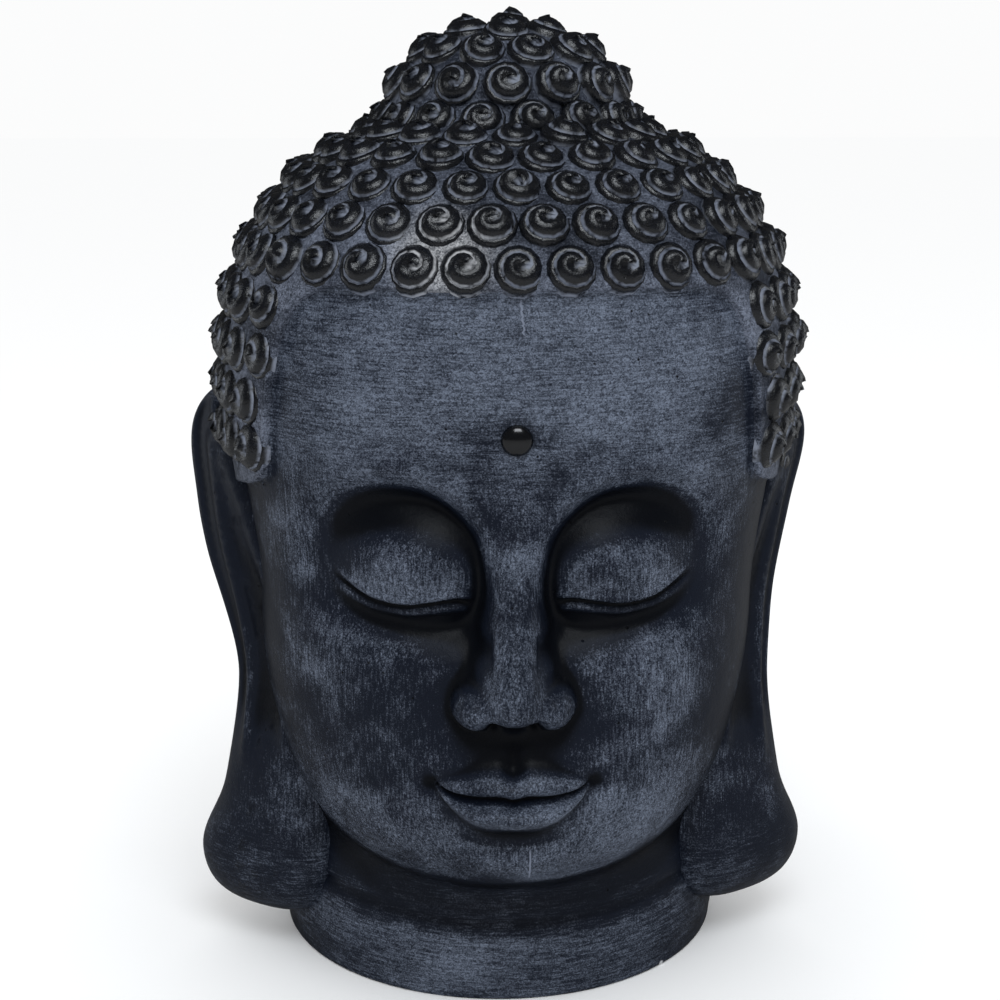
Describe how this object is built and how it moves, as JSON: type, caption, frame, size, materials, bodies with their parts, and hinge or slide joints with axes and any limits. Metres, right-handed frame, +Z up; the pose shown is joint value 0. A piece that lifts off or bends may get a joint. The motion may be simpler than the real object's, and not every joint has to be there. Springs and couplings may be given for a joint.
{
  "type": "buddha head statue",
  "caption": "Garden or room statue of a calm head with closed eyes, snail-shell curls, topknot and long ear lobes, cut flat under the neck.",
  "frame": {"origin": "centre of the flat underside of the neck", "axes": "+Z up through the topknot; the face looks along -Y; +X is on the right of a viewer who looks at the face"},
  "size_m": [0.4664, 0.4895, 0.7005],
  "materials": {
    "cast_stone": "charcoal stone-powder casting, satin, with a pale dry-brushed haze"
  },
  "bodies": {
    "root": {"buddha_head": "cast_stone"}
  },
  "joints": []
}
